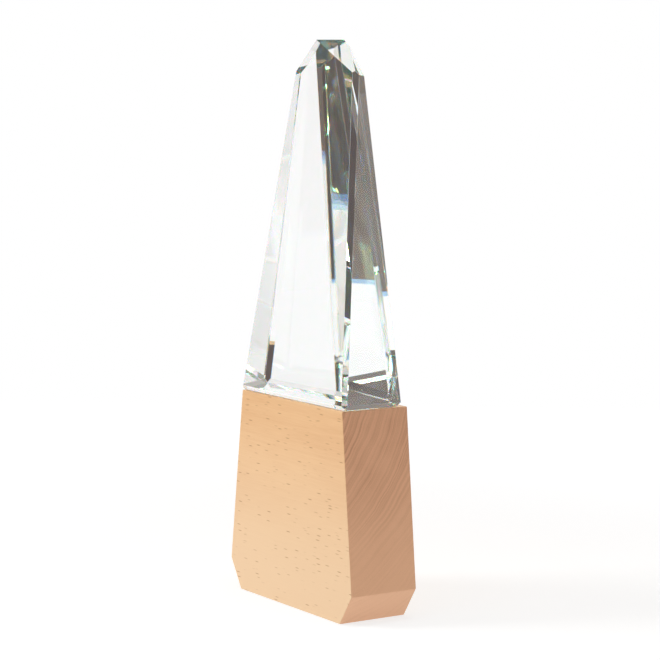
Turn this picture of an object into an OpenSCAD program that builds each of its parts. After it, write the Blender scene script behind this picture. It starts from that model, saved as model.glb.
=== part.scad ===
// Crystal award: a tapering block of clear crystal glued on a solid beech base.
// Origin at the middle of the underside. X runs along the width, -Y is the front, +Z is up.

/* [Wood base] */
// Height of the base
base_h = 90; // [60:1:120]
// Front-to-back depth of the base
base_d = 33.3; // [25:0.1:45]
// Width of the base across its top
base_top_w = 78.5; // [60:0.5:110]
// Width of the base at its widest, where the foot bevels start
base_wide_w = 95.4; // [70:0.1:130]
// Width of the flat that the award stands on
base_foot_w = 78.7; // [50:0.1:110]
// Height of the foot bevels
foot_bevel_h = 13; // [6:0.5:20]

/* [Glue film] */
// Thickness of the clear glue between the wood and the crystal
glue_t = 0.2; // [0.1:0.1:0.5]
// Width of the glue film
glue_w = 70; // [40:1:80]
// Depth of the glue film
glue_d = 28; // [15:1:32]

/* [Crystal] */
// Height of the crystal above the glue
crystal_h = 153.9; // [120:0.1:200]
// Height of the small bevel round the underside
underside_bevel_h = 2.0; // [0.5:0.1:4]
// How far that bevel leans under, in degrees
underside_lean = 36; // [10:1:70]

/* [Front facet] */
// Way it faces, in degrees round from the right
front_turn = -89.6; // [-95:0.1:-85]
// How far out it lies at the foot
front_reach = 16.9; // [12:0.1:25]
// How far it leans inwards, in degrees
front_lean = 6.8; // [0:0.1:10]

/* [Back facet, left part] */
// Way it faces, in degrees round from the right
back_left_turn = 93.8; // [88:0.1:100]
// How far out it lies at the foot
back_left_reach = 17.4; // [12:0.1:25]
// How far it leans inwards, in degrees
back_left_lean = 2.2; // [0:0.1:10]

/* [Back facet, right part] */
// Way it faces, in degrees round from the right
back_right_turn = 79.0; // [70:0.1:85]
// How far out it lies at the foot
back_right_reach = 20.0; // [15:0.1:25]
// How far it leans inwards, in degrees
back_right_lean = 4.9; // [0:0.1:10]

/* [Right facet] */
// Way it faces, in degrees round from the right
right_turn = 0.1; // [-5:0.1:5]
// How far out it lies at the foot
right_reach = 40.3; // [30:0.1:45]
// How far it leans inwards, in degrees
right_lean = 7.6; // [0:0.1:12]

/* [Left facet] */
// Way it faces, in degrees round from the right
left_turn = -179.4; // [-185:0.1:-175]
// How far out it lies at the foot
left_reach = 40.1; // [30:0.1:45]
// How far it leans inwards, in degrees
left_lean = 6.5; // [0:0.1:12]

/* [Cut top corner on the right] */
// Way it faces, in degrees round from the right
right_corner_turn = 9.9; // [0:0.1:20]
// How far out it lies at the foot
right_corner_reach = 160.9; // [150:0.1:180]
// How far it leans inwards, in degrees
right_corner_lean = 45.4; // [40:0.1:50]

/* [Cut top corner on the left] */
// Way it faces, in degrees round from the right
left_corner_turn = -176.3; // [-185:0.1:-170]
// How far out it lies at the foot
left_corner_reach = 156.9; // [150:0.1:180]
// How far it leans inwards, in degrees
left_corner_lean = 44.1; // [40:0.1:50]

/* [Slanted facet at the top of the front] */
// Way it faces, in degrees round from the right
front_slant_turn = -68.2; // [-80:0.1:-60]
// How far out it lies at the foot
front_slant_reach = 130.6; // [120:0.1:150]
// How far it leans inwards, in degrees
front_slant_lean = 41.7; // [35:0.1:50]

/* [Bevel on the front right edge] */
// Way it faces, in degrees round from the right
front_right_edge_turn = -44.8; // [-55:0.1:-35]
// How far out it lies at the foot
front_right_edge_reach = 39.1; // [36:0.1:45]
// How far it leans inwards, in degrees
front_right_edge_lean = 10.2; // [5:0.1:15]

/* [Bevel on the front left edge] */
// Way it faces, in degrees round from the right
front_left_edge_turn = -134.5; // [-145:0.1:-125]
// How far out it lies at the foot
front_left_edge_reach = 38.8; // [36:0.1:45]
// How far it leans inwards, in degrees
front_left_edge_lean = 9.2; // [5:0.1:15]

/* [Bevel on the back left edge] */
// Way it faces, in degrees round from the right
back_left_edge_turn = 137.0; // [127:0.1:147]
// How far out it lies at the foot
back_left_edge_reach = 37.6; // [34:0.1:45]
// How far it leans inwards, in degrees
back_left_edge_lean = 5.9; // [0:0.1:12]

/* [Hidden] */
crystal_z = base_h + glue_t;
foot_z = crystal_z + underside_bevel_h;
peak_z = crystal_z + crystal_h;
block = 4 * peak_z;
tall_facets = [
    [front_turn, front_reach, front_lean],
    [back_left_turn, back_left_reach, back_left_lean],
    [back_right_turn, back_right_reach, back_right_lean],
    [right_turn, right_reach, right_lean],
    [left_turn, left_reach, left_lean]
];
other_facets = [
    [right_corner_turn, right_corner_reach, right_corner_lean],
    [left_corner_turn, left_corner_reach, left_corner_lean],
    [front_slant_turn, front_slant_reach, front_slant_lean],
    [front_right_edge_turn, front_right_edge_reach, front_right_edge_lean],
    [front_left_edge_turn, front_left_edge_reach, front_left_edge_lean],
    [back_left_edge_turn, back_left_edge_reach, back_left_edge_lean]
];

// Takes off everything beyond a facet: the way it faces, how far out it lies at the foot, how it leans
module grind(turn, reach, lean) {
    rotate([0, 0, turn]) translate([reach, 0, foot_z]) rotate([0, -lean, 0])
        translate([0, -block / 2, -block / 2]) cube(block);
}

module wood_base() {
    color("burlywood") translate([0, base_d / 2, 0]) rotate([90, 0, 0]) linear_extrude(base_d)
        polygon([
            [-base_foot_w / 2, 0], [base_foot_w / 2, 0],
            [base_wide_w / 2, foot_bevel_h], [base_top_w / 2, base_h],
            [-base_top_w / 2, base_h], [-base_wide_w / 2, foot_bevel_h]
        ]);
}

module glue_film() {
    color("lightcyan") translate([-glue_w / 2, -glue_d / 2, base_h]) cube([glue_w, glue_d, glue_t]);
}

module crystal() {
    color("paleturquoise") difference() {
        translate([-base_wide_w / 2, -base_d, crystal_z]) cube([base_wide_w, 2 * base_d, crystal_h]);
        for (facet = concat(tall_facets, other_facets)) grind(facet[0], facet[1], facet[2]);
        for (facet = tall_facets) grind(facet[0], facet[1], -underside_lean);
    }
}

wood_base();
glue_film();
crystal();
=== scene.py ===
# %% [markdown]
# # A crystal award on a beech base
#
# The award has three pieces: a solid block of optical crystal, a solid block of beech and the film of
# clear glue between them. Nothing moves. The design model fixes every size, so the first step is to load
# it. It stays as the frame of the work: each new piece is made at its final place, in metres, and stands
# for one node of the frame.

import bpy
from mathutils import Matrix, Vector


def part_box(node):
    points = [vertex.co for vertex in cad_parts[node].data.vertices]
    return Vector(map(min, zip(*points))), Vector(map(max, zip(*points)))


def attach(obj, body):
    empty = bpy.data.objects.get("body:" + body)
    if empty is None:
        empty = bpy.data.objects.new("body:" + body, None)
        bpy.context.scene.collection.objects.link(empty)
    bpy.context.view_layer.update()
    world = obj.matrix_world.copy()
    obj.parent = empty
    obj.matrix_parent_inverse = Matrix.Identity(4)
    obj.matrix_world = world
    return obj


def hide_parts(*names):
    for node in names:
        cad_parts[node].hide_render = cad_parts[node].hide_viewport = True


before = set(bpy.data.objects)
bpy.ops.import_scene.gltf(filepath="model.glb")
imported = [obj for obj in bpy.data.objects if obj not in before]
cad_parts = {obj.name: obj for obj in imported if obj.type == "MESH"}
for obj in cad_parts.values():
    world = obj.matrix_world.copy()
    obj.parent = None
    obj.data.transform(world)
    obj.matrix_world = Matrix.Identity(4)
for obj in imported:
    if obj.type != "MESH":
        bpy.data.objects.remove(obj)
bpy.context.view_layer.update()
print("nodes:", sorted(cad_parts))

# %% [markdown]
# Blender works in metres, and the sizes of the award are easier to read in millimetres, so one constant
# turns one into the other.

# %% Tools and units
import math

import bpy
from mathutils import Matrix, Vector

MM = 0.001
scene = bpy.context.scene
print("units: 1 m is", round(1 / MM), "mm")

# %% [markdown]
# ## Working by operator
#
# Everything here could be done by hand in the viewport: add a cube, go into edit mode, cut it with
# Bisect, round its edges with a Bevel modifier. An operator acts on whatever is selected, so each helper
# first clears the selection. `grind` is the one that matters. A lap takes off whatever stands outside one
# flat, and Bisect with Fill and Clear Outer does the same: three points give the flat, and going round
# them anticlockwise, seen from outside, says which side is outside.

# %% Helpers for modelling
def take(piece):
    """Makes one object the only selected one, and the active one."""
    bpy.ops.object.select_all(action="DESELECT")
    piece.select_set(True)
    bpy.context.view_layer.objects.active = piece


def add_block(name, low, high):
    """Adds a box between two corners, with its place and size in its mesh."""
    bpy.ops.object.select_all(action="DESELECT")
    bpy.ops.mesh.primitive_cube_add(size=1, location=(low + high) / 2)
    block = bpy.context.object
    block.name = name
    block.data.name = name
    block.scale = high - low
    bpy.ops.object.transform_apply(location=True, rotation=True, scale=True)
    return block


def grind(piece, p, q, r):
    """Cuts away what lies outside the flat through three points, and closes the cut with a face."""
    outward = (q - p).cross(r - p).normalized()
    take(piece)
    bpy.ops.object.mode_set(mode="EDIT")
    bpy.ops.mesh.select_all(action="SELECT")
    bpy.ops.mesh.bisect(plane_co=p, plane_no=outward, use_fill=True, clear_outer=True, threshold=1e-6)
    bpy.ops.object.mode_set(mode="OBJECT")


def ease_edges(piece, width, segments):
    """Rounds every real edge, and bakes the rounding into the mesh."""
    take(piece)
    bpy.ops.object.modifier_add(type="BEVEL")
    bevel = piece.modifiers[-1]
    bevel.width = width
    bevel.segments = segments
    bevel.limit_method = "ANGLE"
    bevel.angle_limit = math.radians(2)
    bevel.use_clamp_overlap = True
    bpy.ops.object.modifier_apply(modifier=bevel.name)


def close_up(piece):
    """Merges doubled points and turns all faces outwards."""
    take(piece)
    bpy.ops.object.mode_set(mode="EDIT")
    bpy.ops.mesh.select_all(action="SELECT")
    bpy.ops.mesh.remove_doubles(threshold=1e-7)
    bpy.ops.mesh.normals_make_consistent(inside=False)
    bpy.ops.object.mode_set(mode="OBJECT")
    print(piece.name, "has", len(piece.data.polygons), "faces")


# %% [markdown]
# ## Writing a material as a sum
#
# A node tree is hard to read as code, so a small class wraps a socket and lets sums be written as sums:
# `ring * 0.5 + grain` adds the two Math nodes. Any other node comes from `Finish.node`, which takes its
# settings first and then its inputs by place or name. Colours are mixed with Mix Color nodes, because a
# Math node would turn them grey.

# %% Sockets that can be added and multiplied
class Signal:
    """One output of a node, usable in sums."""

    def __init__(self, finish, socket):
        self.finish = finish
        self.socket = socket

    def maths(self, operation, first, second=0.0):
        return self.finish.node("ShaderNodeMath", {0: first, 1: second}, operation=operation)

    def __add__(self, other):
        return self.maths("ADD", self, other)

    def __sub__(self, other):
        return self.maths("SUBTRACT", self, other)

    def __rsub__(self, other):
        return self.maths("SUBTRACT", other, self)

    def __mul__(self, other):
        return self.maths("MULTIPLY", self, other)

    def __truediv__(self, other):
        return self.maths("DIVIDE", self, other)

    def __pow__(self, other):
        return self.maths("POWER", self, other)

    __radd__ = __add__
    __rmul__ = __mul__

    def fraction(self):
        return self.maths("FRACT", self)


class Finish:
    """A node tree being written: a material's, or the world's."""

    def __init__(self, owner):
        self.owner = owner
        owner.use_nodes = True
        self.tree = owner.node_tree
        self.tree.nodes.clear()

    def node(self, kind, inputs=None, out=0, stops=None, **settings):
        """Adds a node, sets it up, feeds it and gives back one of its outputs."""
        node = self.tree.nodes.new(kind)
        for name, value in settings.items():
            setattr(node, name, value)
        if stops:
            ramp = node.color_ramp.elements
            while len(ramp) < len(stops):
                ramp.new(0.5)
            for mark, (place, colour) in zip(ramp, stops):
                mark.position = place
                mark.color = (*colour, 1)
        for key, value in (inputs or {}).items():
            if isinstance(value, Signal):
                self.tree.links.new(value.socket, node.inputs[key])
            else:
                node.inputs[key].default_value = value
        return Signal(self, node.outputs[out]) if node.outputs else None

    def blend(self, share, first, second, mode="MIX"):
        """Mixes two colours; share 0 is the first and 1 the second."""
        return self.node("ShaderNodeMix", {0: share, 6: first, 7: second}, out=2, data_type="RGBA",
                         blend_type=mode)

    def ramp(self, value, low, high, to_low=0.0, to_high=1.0):
        """Maps low..high smoothly onto to_low..to_high, and holds the ends."""
        return self.node("ShaderNodeMapRange", {0: value, 1: low, 2: high, 3: to_low, 4: to_high},
                         interpolation_type="SMOOTHSTEP")

    def place_mm(self, stretch=(1, 1, 1)):
        """The point on the piece, in millimetres, with each axis divided by its stretch."""
        spot = self.node("ShaderNodeTexCoord", out="Object")
        return self.node("ShaderNodeMapping", {"Vector": spot, "Scale": [1 / MM / side for side in stretch]})

    def noise(self, stretch, detail=2.0, roughness=0.5):
        """Soft noise from 0 to 1 whose lumps are about stretch millimetres long on each axis."""
        return self.node("ShaderNodeTexNoise", {"Vector": self.place_mm(stretch), "Scale": 1.0,
                                                "Detail": detail, "Roughness": roughness})


def new_material(name):
    return Finish(bpy.data.materials.new(name))


# %% [markdown]
# ## The crystal block
#
# The real block is sawn from a slab of optical glass and ground on a flat lap, one facet at a time, then
# polished. So it is convex, and every facet is a true plane that meets its neighbours in a crisp line. A
# cylinder or a lofted shape would only come near that, and glass shows it at once, because what is seen
# through it jumps from facet to facet. So the block starts as a box and is ground: the tall faces that
# lean inwards, of which the back has two, the two cut top corners, the slanted facet at the top, the
# narrow upright bevels and the small ones round the underside.

# %% The facets of the crystal
# Each facet: the way it faces in degrees round from the right, how far out it lies at the foot in
# millimetres, and how far it leans inwards in degrees
crystal_low, crystal_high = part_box("crystal")
TALL_FACETS = {
    "front": (-89.6, 16.9, 6.8),
    "back left": (93.8, 17.4, 2.2),
    "back right": (79.0, 20.0, 4.9),
    "right": (0.1, 40.3, 7.6),
    "left": (-179.4, 40.1, 6.5),
}
OTHER_FACETS = {
    "right corner": (9.9, 160.9, 45.4),
    "left corner": (-176.3, 156.9, 44.1),
    "front slant": (-68.2, 130.6, 41.7),
    "front right edge": (-44.8, 39.1, 10.2),
    "front left edge": (-134.5, 38.8, 9.2),
    "back left edge": (137.0, 37.6, 5.9),
}
UNDERSIDE_LEAN = 36
FOOT_Z = crystal_low.z + 2.0 * MM
# A hair of air, so that the underside doesn't lie in one plane with the glue
AIR_GAP = 0.02 * MM
# How much larger than the finished crystal the sawn block is on each side
SAW_ALLOWANCE = 5 * MM


def grind_facet(piece, turn, reach, lean):
    """Cuts away what lies beyond one facet."""
    turn, lean = math.radians(turn), math.radians(lean)
    facing = Vector((math.cos(turn), math.sin(turn), 0))
    spot = facing * reach * MM + Vector((0, 0, FOOT_Z))
    sideways = facing.cross(Vector((0, 0, -1)))
    upward = Vector((0, 0, math.cos(lean))) - facing * math.sin(lean)
    grind(piece, spot, spot + sideways, spot + upward)


# %% Grind the crystal
block_low = crystal_low + Vector((-SAW_ALLOWANCE, -SAW_ALLOWANCE, AIR_GAP))
block_high = crystal_high + Vector((SAW_ALLOWANCE, SAW_ALLOWANCE, 0))
crystal = add_block("crystal_block", block_low, block_high)
for turn, reach, lean in (*TALL_FACETS.values(), *OTHER_FACETS.values()):
    grind_facet(crystal, turn, reach, lean)
for turn, reach, lean in TALL_FACETS.values():
    grind_facet(crystal, turn, reach, -UNDERSIDE_LEAN)
close_up(crystal)

# %% [markdown]
# The lap leaves an edge of about a tenth of a millimetre, softened so that it doesn't chip. It is hardly
# visible as a shape, but in glass it draws the thin bright and dark lines along each edge.

# %% Soften the crystal's edges
CRYSTAL_EDGE = 0.15 * MM
ease_edges(crystal, CRYSTAL_EDGE, 1)
close_up(crystal)

# %% [markdown]
# ### The glass
#
# Clear crystal has no colour of its own: it shows its surroundings, bent and mirrored. Two things still
# give it away. It bends blue more than red, which draws thin colour fringes where a bright zone meets a
# dark one. And it drinks a trace of red, so a long way through it looks faintly green. One Glass shader
# can't bend by colour, so two share the light: a warm one that bends it less and a cool one that bends it
# more. Their colours average to white. A Volume Absorption gives the tint.

# %% Glass that bends each colour by its own amount
INDEX_WARM = 1.511
INDEX_COOL = 1.531
WARM_SHARE = (1.45, 1, 0.55, 1)
COOL_SHARE = (0.55, 1, 1.45, 1)
BODY_TINT = (0.62, 0.95, 0.86, 1)
BODY_TINT_DENSITY = 1.0


def make_glass():
    finish = new_material("optical_crystal")
    polish = finish.ramp(finish.noise((9, 9, 30), detail=3), 0.5, 0.85, 0.0, 0.006)
    waves = finish.node("ShaderNodeBump", {"Height": finish.noise((14, 14, 22), detail=1), "Strength": 0.02,
                                           "Distance": 0.02 * MM})
    warm = finish.node("ShaderNodeBsdfGlass", {"Color": WARM_SHARE, "Roughness": polish, "IOR": INDEX_WARM,
                                               "Normal": waves})
    cool = finish.node("ShaderNodeBsdfGlass", {"Color": COOL_SHARE, "Roughness": polish, "IOR": INDEX_COOL,
                                               "Normal": waves})
    both = finish.node("ShaderNodeMixShader", {0: 0.5, 1: warm, 2: cool})
    tint = finish.node("ShaderNodeVolumeAbsorption", {"Color": BODY_TINT, "Density": BODY_TINT_DENSITY})
    finish.node("ShaderNodeOutputMaterial", {"Surface": both, "Volume": tint})
    return finish.owner


crystal.data.materials.clear()
crystal.data.materials.append(make_glass())
print("crystal finish:", crystal.data.materials[0].name, "bends light by", INDEX_WARM, "to", INDEX_COOL)

# %% [markdown]
# ## The glue film
#
# A clear glue that sets under ultraviolet light holds the crystal on the wood. It is a fifth of a
# millimetre thick and stops short of the crystal's edge. The frame's node already has that shape, so it
# stays and gets a finish: a clear resin over the wood below, slightly milky where fine bubbles are
# caught.

# %% Finish of the glue
BUBBLE_SPACING_MM = 1.1
CLEAR_GLUE = (0.12, 0.16, 0.155, 1)
MILKY_GLUE = (0.5, 0.56, 0.55, 1)
GLUE_INDEX = 1.48


def make_glue():
    finish = new_material("set_glue")
    spacing = finish.place_mm([BUBBLE_SPACING_MM] * 3)
    bubbles = finish.node("ShaderNodeTexVoronoi", {"Vector": spacing, "Scale": 1.0})
    milk = finish.ramp(bubbles, 0.05, 0.2, 1.0, 0.0)
    colour = finish.blend(milk * 0.4, CLEAR_GLUE, MILKY_GLUE)
    surface = finish.node("ShaderNodeBsdfPrincipled", {"Base Color": colour, "Roughness": 0.25 + milk * 0.2,
                                                       "IOR": GLUE_INDEX})
    finish.node("ShaderNodeOutputMaterial", {"Surface": surface})
    return finish.owner


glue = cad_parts["glue_film"]
glue.data.materials.clear()
glue.data.materials.append(make_glue())
print("glue finish:", glue.data.materials[0].name)

# %% [markdown]
# ## The wood base
#
# The base is one block of solid beech, cut to a gem outline: it widens downwards, then two foot bevels
# bring it in again. It is sawn from a plank, planed and sanded, and the sanding breaks every edge by
# about a third of a millimetre. So it is ground from a box like the crystal, with wider, rounder edges.

# %% Sizes and shape of the base
wood_low, wood_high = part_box("wood_base")
WIDE_X = wood_high.x
TOP_X = 39.2 * MM
STAND_X = 39.3 * MM
FOOT_BEVEL_Z = 13 * MM
WOOD_EDGE = 0.35 * MM

base = add_block("beech_base", wood_low, wood_high)
for side in (1, -1):
    wide_front = Vector((side * WIDE_X, -side, FOOT_BEVEL_Z))
    wide_back = Vector((side * WIDE_X, side, FOOT_BEVEL_Z))
    grind(base, wide_front, wide_back, Vector((side * TOP_X, 0, wood_high.z)))
    grind(base, wide_back, wide_front, Vector((side * STAND_X, 0, 0)))
close_up(base)
ease_edges(base, WOOD_EDGE, 2)
close_up(base)

# %% [markdown]
# ### Beech
#
# Beech is pale, even and slightly pink. Along the grain it shows two things: broad soft bands where the
# growth rings are cut lengthwise, and thousands of short darker flecks, about two millimetres long, where
# the rays are cut across. On the sawn ends the rings show as arcs round the middle of the tree, and the
# open fibres drink the lacquer and turn browner. All of it comes from one solid pattern in the block, so
# the rings meet at the edges as they would in a real plank: cylinders round an axis along the width, well
# outside the block, bent a little by noise.

# %% The beech finish
# Where the middle of the tree lies, and how far apart its rings are, in millimetres
PITH_Y = -75.0
PITH_Z = 118.0
RING_MM = 2.6
# Cells of the fleck pattern: long along the grain, and about as small as a pore on the ends
FLECK_CELL_MM = (8, 1.15, 1.15)
PORE_CELL_MM = (0.5, 0.5, 0.5)
# Early wood, late wood, fleck, and a paler tone towards the foot that is painted light, the bounce from the
# white paper
SIDE_COLOURS = ((0.80, 0.505, 0.26), (0.68, 0.375, 0.175), (0.37, 0.165, 0.065), (0.77, 0.55, 0.34))
END_COLOURS = ((0.80, 0.435, 0.25), (0.52, 0.24, 0.125), (0.36, 0.15, 0.07), (0.84, 0.48, 0.28))


def rings(finish):
    """Distance from the middle of the tree in rings, bent by slow noise."""
    across = finish.node("ShaderNodeSeparateXYZ", {0: finish.place_mm()}, out="Y")
    up = finish.node("ShaderNodeSeparateXYZ", {0: finish.place_mm()}, out="Z")
    radius = ((across - PITH_Y) ** 2 + (up - PITH_Z) ** 2) ** 0.5
    return (radius + finish.noise((160, 30, 30)) * 7 + finish.noise((60, 6, 6)) * 0.9) / RING_MM


def make_beech(name, colours, is_end):
    """Beech cut along the grain, or across it on an end."""
    finish = new_material(name)
    pale, deep, fleck, painted_floor_bounce = [(*colour, 1) for colour in colours]
    ring = rings(finish)
    lines = finish.node("ShaderNodeTexNoise", {"W": ring * 1.6, "Scale": 1.0, "Detail": 3.0,
                                               "Roughness": 0.65}, noise_dimensions="1D")
    late = finish.ramp(lines, 0.38, 0.66) * 0.6 + ring.fraction() ** 3 * 0.35
    cloud = finish.ramp(finish.noise((70, 22, 22)), 0.3, 0.7)
    fibres = finish.noise((14, 0.45, 0.45), detail=3)
    if is_end:
        shade = late * (cloud * 0.6 + 0.45) + finish.ramp(fibres, 0.3, 0.7) * 0.22 + cloud * 0.2 - 0.12
    else:
        shade = late * 0.22 + finish.ramp(fibres, 0.35, 0.7) * 0.26 + cloud * 0.45 - 0.12
    wood = finish.blend(shade, pale, deep)
    # Painted light: the colour turns paler towards the foot, standing in for light bounced up from the paper
    up = finish.node("ShaderNodeSeparateXYZ", {0: finish.place_mm()}, out="Z")
    wood = finish.blend(finish.ramp(up, 5, 95, 0.85, 0.0), wood, painted_floor_bounce)
    cell = finish.place_mm(PORE_CELL_MM if is_end else FLECK_CELL_MM)
    near = finish.node("ShaderNodeTexVoronoi", {"Vector": cell, "Scale": 1.0, "Randomness": 1.0})
    pick = finish.node("ShaderNodeTexVoronoi", {"Vector": cell, "Scale": 1.0, "Randomness": 1.0}, out="Color")
    lot = finish.node("ShaderNodeSeparateColor", {0: pick})
    rays = finish.ramp(near, 0.08, 0.26, 1.0, 0.0) * finish.ramp(lot, 0.15, 0.9)
    wood = finish.blend(rays * (0.3 if is_end else 0.75), wood, fleck)
    height = fibres * 0.6 - rays * 0.5
    bump = finish.node("ShaderNodeBump", {"Height": height, "Strength": 0.25, "Distance": 0.06 * MM})
    gloss = 0.34 + fibres * 0.12 + rays * 0.08
    surface = finish.node("ShaderNodeBsdfPrincipled", {"Base Color": wood, "Roughness": gloss, "Normal": bump,
                                                       "Specular IOR Level": 0.5})
    finish.node("ShaderNodeOutputMaterial", {"Surface": surface})
    return finish.owner


base.data.materials.clear()
base.data.materials.append(make_beech("beech_long_grain", SIDE_COLOURS, False))
base.data.materials.append(make_beech("beech_end_grain", END_COLOURS, True))
for polygon in base.data.polygons:
    polygon.material_index = 1 if abs(polygon.normal.x) > 0.5 else 0
print("end grain faces:", sum(polygon.material_index for polygon in base.data.polygons))

# %% [markdown]
# ## Say what each piece stands for
#
# Both new pieces ride on the only body and hide the plain node they replace.

# %% Pieces and bodies
for piece, node, slot in ((crystal, "crystal", "crystal"), (base, "wood_base", "beech")):
    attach(piece, "root")
    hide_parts(node)
    print(piece.name, "stands for", node)

# %% [markdown]
# ## A paper sweep, the room and the lamps
#
# Clear crystal is lit by what stands round it, so this is where most of its look is made. The award
# stands on a white paper sweep, not much wider than an arm is long, that runs past it and curves up
# behind. Beyond the paper's edges the room is a dull brown-grey. The paper comes through the block as the
# clear white zones, and the room as the dark ones. Spin and extrude make the sweep from a single plane.
# It is given a painted glow, as if it were a lamp, and that glow also lights the wood and the crystal.

# %% The paper sweep
CAMERA_YAW = math.radians(55.89)
SWEEP_HALF = 0.45
SWEEP_FRONT = -1.0
SWEEP_BACK = 0.6
SWEEP_CURVE = 0.35
SWEEP_TOP = 1.5
bpy.ops.object.select_all(action="DESELECT")
bpy.ops.mesh.primitive_plane_add(size=1, location=(0, (SWEEP_FRONT + SWEEP_BACK) / 2, 0))
sweep = bpy.context.object
sweep.name = "paper_sweep"
sweep.scale = (2 * SWEEP_HALF, SWEEP_BACK - SWEEP_FRONT, 1)
bpy.ops.object.transform_apply(location=True, rotation=True, scale=True)
bpy.ops.object.mode_set(mode="EDIT")
bpy.ops.mesh.select_mode(type="VERT")
bpy.ops.mesh.select_all(action="DESELECT")
bpy.ops.object.mode_set(mode="OBJECT")
for vertex in sweep.data.vertices:
    vertex.select = vertex.co.y > 0
bpy.ops.object.mode_set(mode="EDIT")
bpy.ops.mesh.spin(steps=16, angle=math.pi / 2, center=(0, SWEEP_BACK, SWEEP_CURVE), axis=(1, 0, 0))
bpy.ops.mesh.extrude_region_move(TRANSFORM_OT_translate={"value": (0, 0, SWEEP_TOP - SWEEP_CURVE)})
bpy.ops.object.mode_set(mode="OBJECT")
sweep.rotation_euler.z = CAMERA_YAW
bpy.ops.object.transform_apply(location=True, rotation=True, scale=True)
bpy.ops.object.shade_smooth()
top_corner = max(sweep.data.vertices, key=lambda vertex: vertex.co.z).co
print("sweep rises to", round(top_corner.z, 2), "m at", [round(side, 2) for side in top_corner.xy])

# Painted light: under the award the paper is lit by the lamps and has a weak glow of its own, and further
# away it glows evenly and brightly, though it is no lamp
LAMPS_REACH = 0.12
GLOW_ALONE = 0.42
NEAR_GLOW = (0.70, 0.70, 0.70, 1)
FAR_GLOW = (1.03, 1.03, 1.03, 1)
paper = new_material("white_paper")
away = paper.node("ShaderNodeVectorMath", {0: paper.node("ShaderNodeTexCoord", out="Object")}, out="Value",
                  operation="LENGTH")
far = paper.ramp(away, LAMPS_REACH, GLOW_ALONE)
# The paper's glow is painted light, weak near the award and bright further away
glow = paper.node("ShaderNodeEmission", {"Color": paper.blend(far, NEAR_GLOW, FAR_GLOW)})
matt = paper.node("ShaderNodeBsdfDiffuse", {"Color": (0.5, 0.5, 0.5, 1)})
near_matt = paper.node("ShaderNodeMixShader", {0: far, 1: matt})
lit = paper.node("ShaderNodeAddShader", {0: glow, 1: near_matt})
paper.node("ShaderNodeOutputMaterial", {"Surface": lit})
sweep.data.materials.append(paper.owner)

# %% [markdown]
# The upright part of the paper would hide the award from anyone who walks round behind it. So it becomes an
# object of its own that the camera looks through, while the crystal and the lamps' light still meet it.

# %% Part the upright paper from the floor
take(sweep)
bpy.ops.object.mode_set(mode="EDIT")
bpy.ops.mesh.select_mode(type="FACE")
bpy.ops.mesh.select_all(action="DESELECT")
bpy.ops.object.mode_set(mode="OBJECT")
for polygon in sweep.data.polygons:
    polygon.select = polygon.center.z > MM
bpy.ops.object.mode_set(mode="EDIT")
bpy.ops.mesh.separate(type="SELECTED")
bpy.ops.object.mode_set(mode="OBJECT")
upright = next(piece for piece in bpy.context.selected_objects if piece != sweep)
upright.name = "paper_upright"
upright.visible_camera = False
print("floor faces:", len(sweep.data.polygons), "upright faces:", len(upright.data.polygons))

# %% [markdown]
# Dark cards give clear glass its contrast, and a white one fills a facet. Each stands upright near the
# award or lies on the paper where one facet mirrors it, and its near edge draws the sharp line in that
# facet. They would be in the picture and throw shadows on the wood, so only rays that the glass bends or
# a gloss mirrors may meet them. So they are painted reflections: no lamp lights them, and each glows
# by itself, the dark ones as painted shade in the crystal and the white one as a painted light.

# %% Cards round the crystal
CARD_DISTANCE = 0.2


def add_card(name, way, low, high, width, tone, lies=False):
    """A card beside the award; way is in degrees round it, the rest in millimetres.

    An upright card reaches from low to high above the paper, and one that lies from low to high away from
    the award.
    """
    around = math.radians(way)
    outward = Vector((math.sin(around), -math.cos(around), 0))
    middle = (low + high) / 2 * MM
    standing_place = outward * CARD_DISTANCE + Vector((0, 0, middle))
    lying_place = outward * middle + Vector((0, 0, MM))
    place, tilt = (lying_place, 0) if lies else (standing_place, math.pi / 2)
    bpy.ops.object.select_all(action="DESELECT")
    bpy.ops.mesh.primitive_plane_add(size=1, location=place, rotation=(tilt, 0, around))
    card = bpy.context.object
    card.name = name
    card.scale = (width * MM, (high - low) * MM, 1)
    bpy.ops.object.transform_apply(location=True, rotation=True, scale=True)
    for rays in ("camera", "diffuse", "shadow", "volume_scatter"):
        setattr(card, "visible_" + rays, False)
    # Painted light: the card is not lit but glows evenly at its tone, dim for a dark card and bright for the
    # white one
    card_painted_glow = new_material(name + "_cloth")
    mottle = card_painted_glow.ramp(card_painted_glow.noise((60, 60, 60)), 0.3, 0.7, 0.85, 1.15)
    light = card_painted_glow.node("ShaderNodeCombineColor", {0: mottle, 1: mottle, 2: mottle})
    colour = card_painted_glow.blend(1.0, light, (*tone, 1), "MULTIPLY")
    card_painted_glow.node("ShaderNodeOutputMaterial", {"Surface": card_painted_glow.node("ShaderNodeEmission", {"Color": colour})})
    card.data.materials.append(card_painted_glow.owner)
    print(name, "is", width, "mm wide, from", low, "to", high, "mm")


# The dark tones are painted shade and the white card's tone is painted light, each glowing at that strength
add_card("card_behind", -149, 224, 430, 90, (0.12, 0.096, 0.092), lies=True)
add_card("card_left", -67, 45, 240, 50, (0.11, 0.09, 0.088))
add_card("card_far_left", -94, 84, 260, 42, (0.17, 0.14, 0.125))
add_card("card_front", -2, 8, 240, 120, (0.17, 0.14, 0.125))
add_card("card_left_back", -111, 60, 240, 36, (0.12, 0.1, 0.095))
add_card("card_near_right", 92, 70, 200, 110, (0.15, 0.122, 0.112), lies=True)
add_card("white_card_right", 125, 0, 260, 80, (1.08, 1.08, 1.08))

# %% [markdown]
# ## The room
#
# What the paper doesn't cover is the room: dull brown-grey all round, and paler towards the ceiling. The
# crystal shows it, but behind the award the picture stays white, so rays straight from the camera meet
# plain white.

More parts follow.
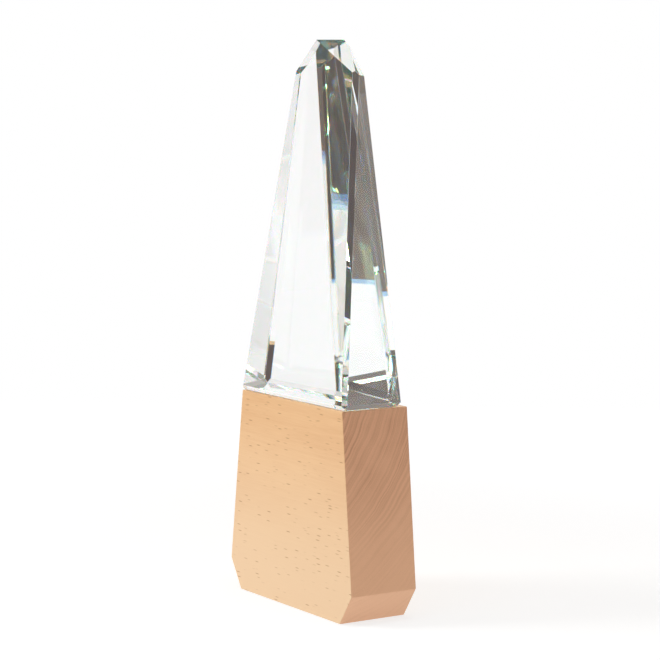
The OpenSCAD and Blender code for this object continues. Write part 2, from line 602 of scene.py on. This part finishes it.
# %% The room
world = bpy.data.worlds.new("studio")
scene.world = world
sky = Finish(world)
height = sky.node("ShaderNodeSeparateXYZ", {0: sky.node("ShaderNodeTexCoord", out="Generated")}, out="Z")
room = sky.node("ShaderNodeValToRGB", {0: height * 0.5 + 0.5},
                stops=((0.0, (0.20, 0.158, 0.14)), (0.6, (0.195, 0.155, 0.137)), (0.85, (0.55, 0.53, 0.5)),
                       (1.0, (0.9, 0.9, 0.9))))
straight = sky.node("ShaderNodeLightPath", out="Is Camera Ray")
sky.node("ShaderNodeOutputWorld", {0: sky.node("ShaderNodeBackground", {
    "Color": sky.blend(straight, room, (1, 1, 1, 1)), "Strength": 1.0})})


# %% [markdown]
# ## The lamps
#
# Two square area lamps act as softboxes: the key from the front left shapes the wood, and one overhead
# fills it in.

# %% The lamps
def add_softbox(name, place, aim, size, power):
    """A square area lamp that faces a point."""
    turn = (Vector(aim) - Vector(place)).to_track_quat("-Z", "Y").to_euler()
    bpy.ops.object.light_add(type="AREA", location=place, rotation=turn)
    lamp = bpy.context.object
    lamp.name = name
    lamp.data.size = size
    lamp.data.energy = power
    print(name, "gives", power, "W")


add_softbox("key_softbox", (-0.75, -1.15, 0.95), (0, 0, 0.1), 0.6, 17)
add_softbox("top_softbox", (-0.2, 0.1, 1.6), (0, 0, 0), 1.0, 11)

# %% [markdown]
# ## Camera
#
# A long lens from about a metre away, a little above the middle of the award and turned 56 degrees round
# it.

# %% Camera
CAMERA_PLACE = Vector((811, -546, 227)) * MM
CAMERA_PITCH = math.radians(-6.27)
CAMERA_ROLL = math.radians(0.67)
LENS_MM = 124.2
SENSOR_MM = 36
turned = Matrix.Rotation(CAMERA_YAW, 4, "Z") @ Matrix.Rotation(math.pi / 2 + CAMERA_PITCH, 4, "X")
turned = turned @ Matrix.Rotation(CAMERA_ROLL, 4, "Z")
bpy.ops.object.camera_add(location=CAMERA_PLACE, rotation=turned.to_euler())
camera = bpy.context.object
camera.data.lens = LENS_MM
camera.data.sensor_width = SENSOR_MM
camera.data.clip_start = 0.01
scene.camera = camera
print("camera:", round(CAMERA_PLACE.length, 2), "m away with a", LENS_MM, "mm lens")

# %% [markdown]
# ## Colour and light paths
#
# The Standard view keeps white paper white. Inside the crystal a ray is mirrored from facet to facet many
# times before it leaves, and one that is stopped too early leaves a black spot, so the bounces are
# raised.

# %% Colour and light paths
BOUNCES = 24
scene.view_settings.view_transform = "Standard"
scene.cycles.max_bounces = BOUNCES
scene.cycles.transmission_bounces = BOUNCES
scene.cycles.glossy_bounces = BOUNCES
print("bounces:", BOUNCES)
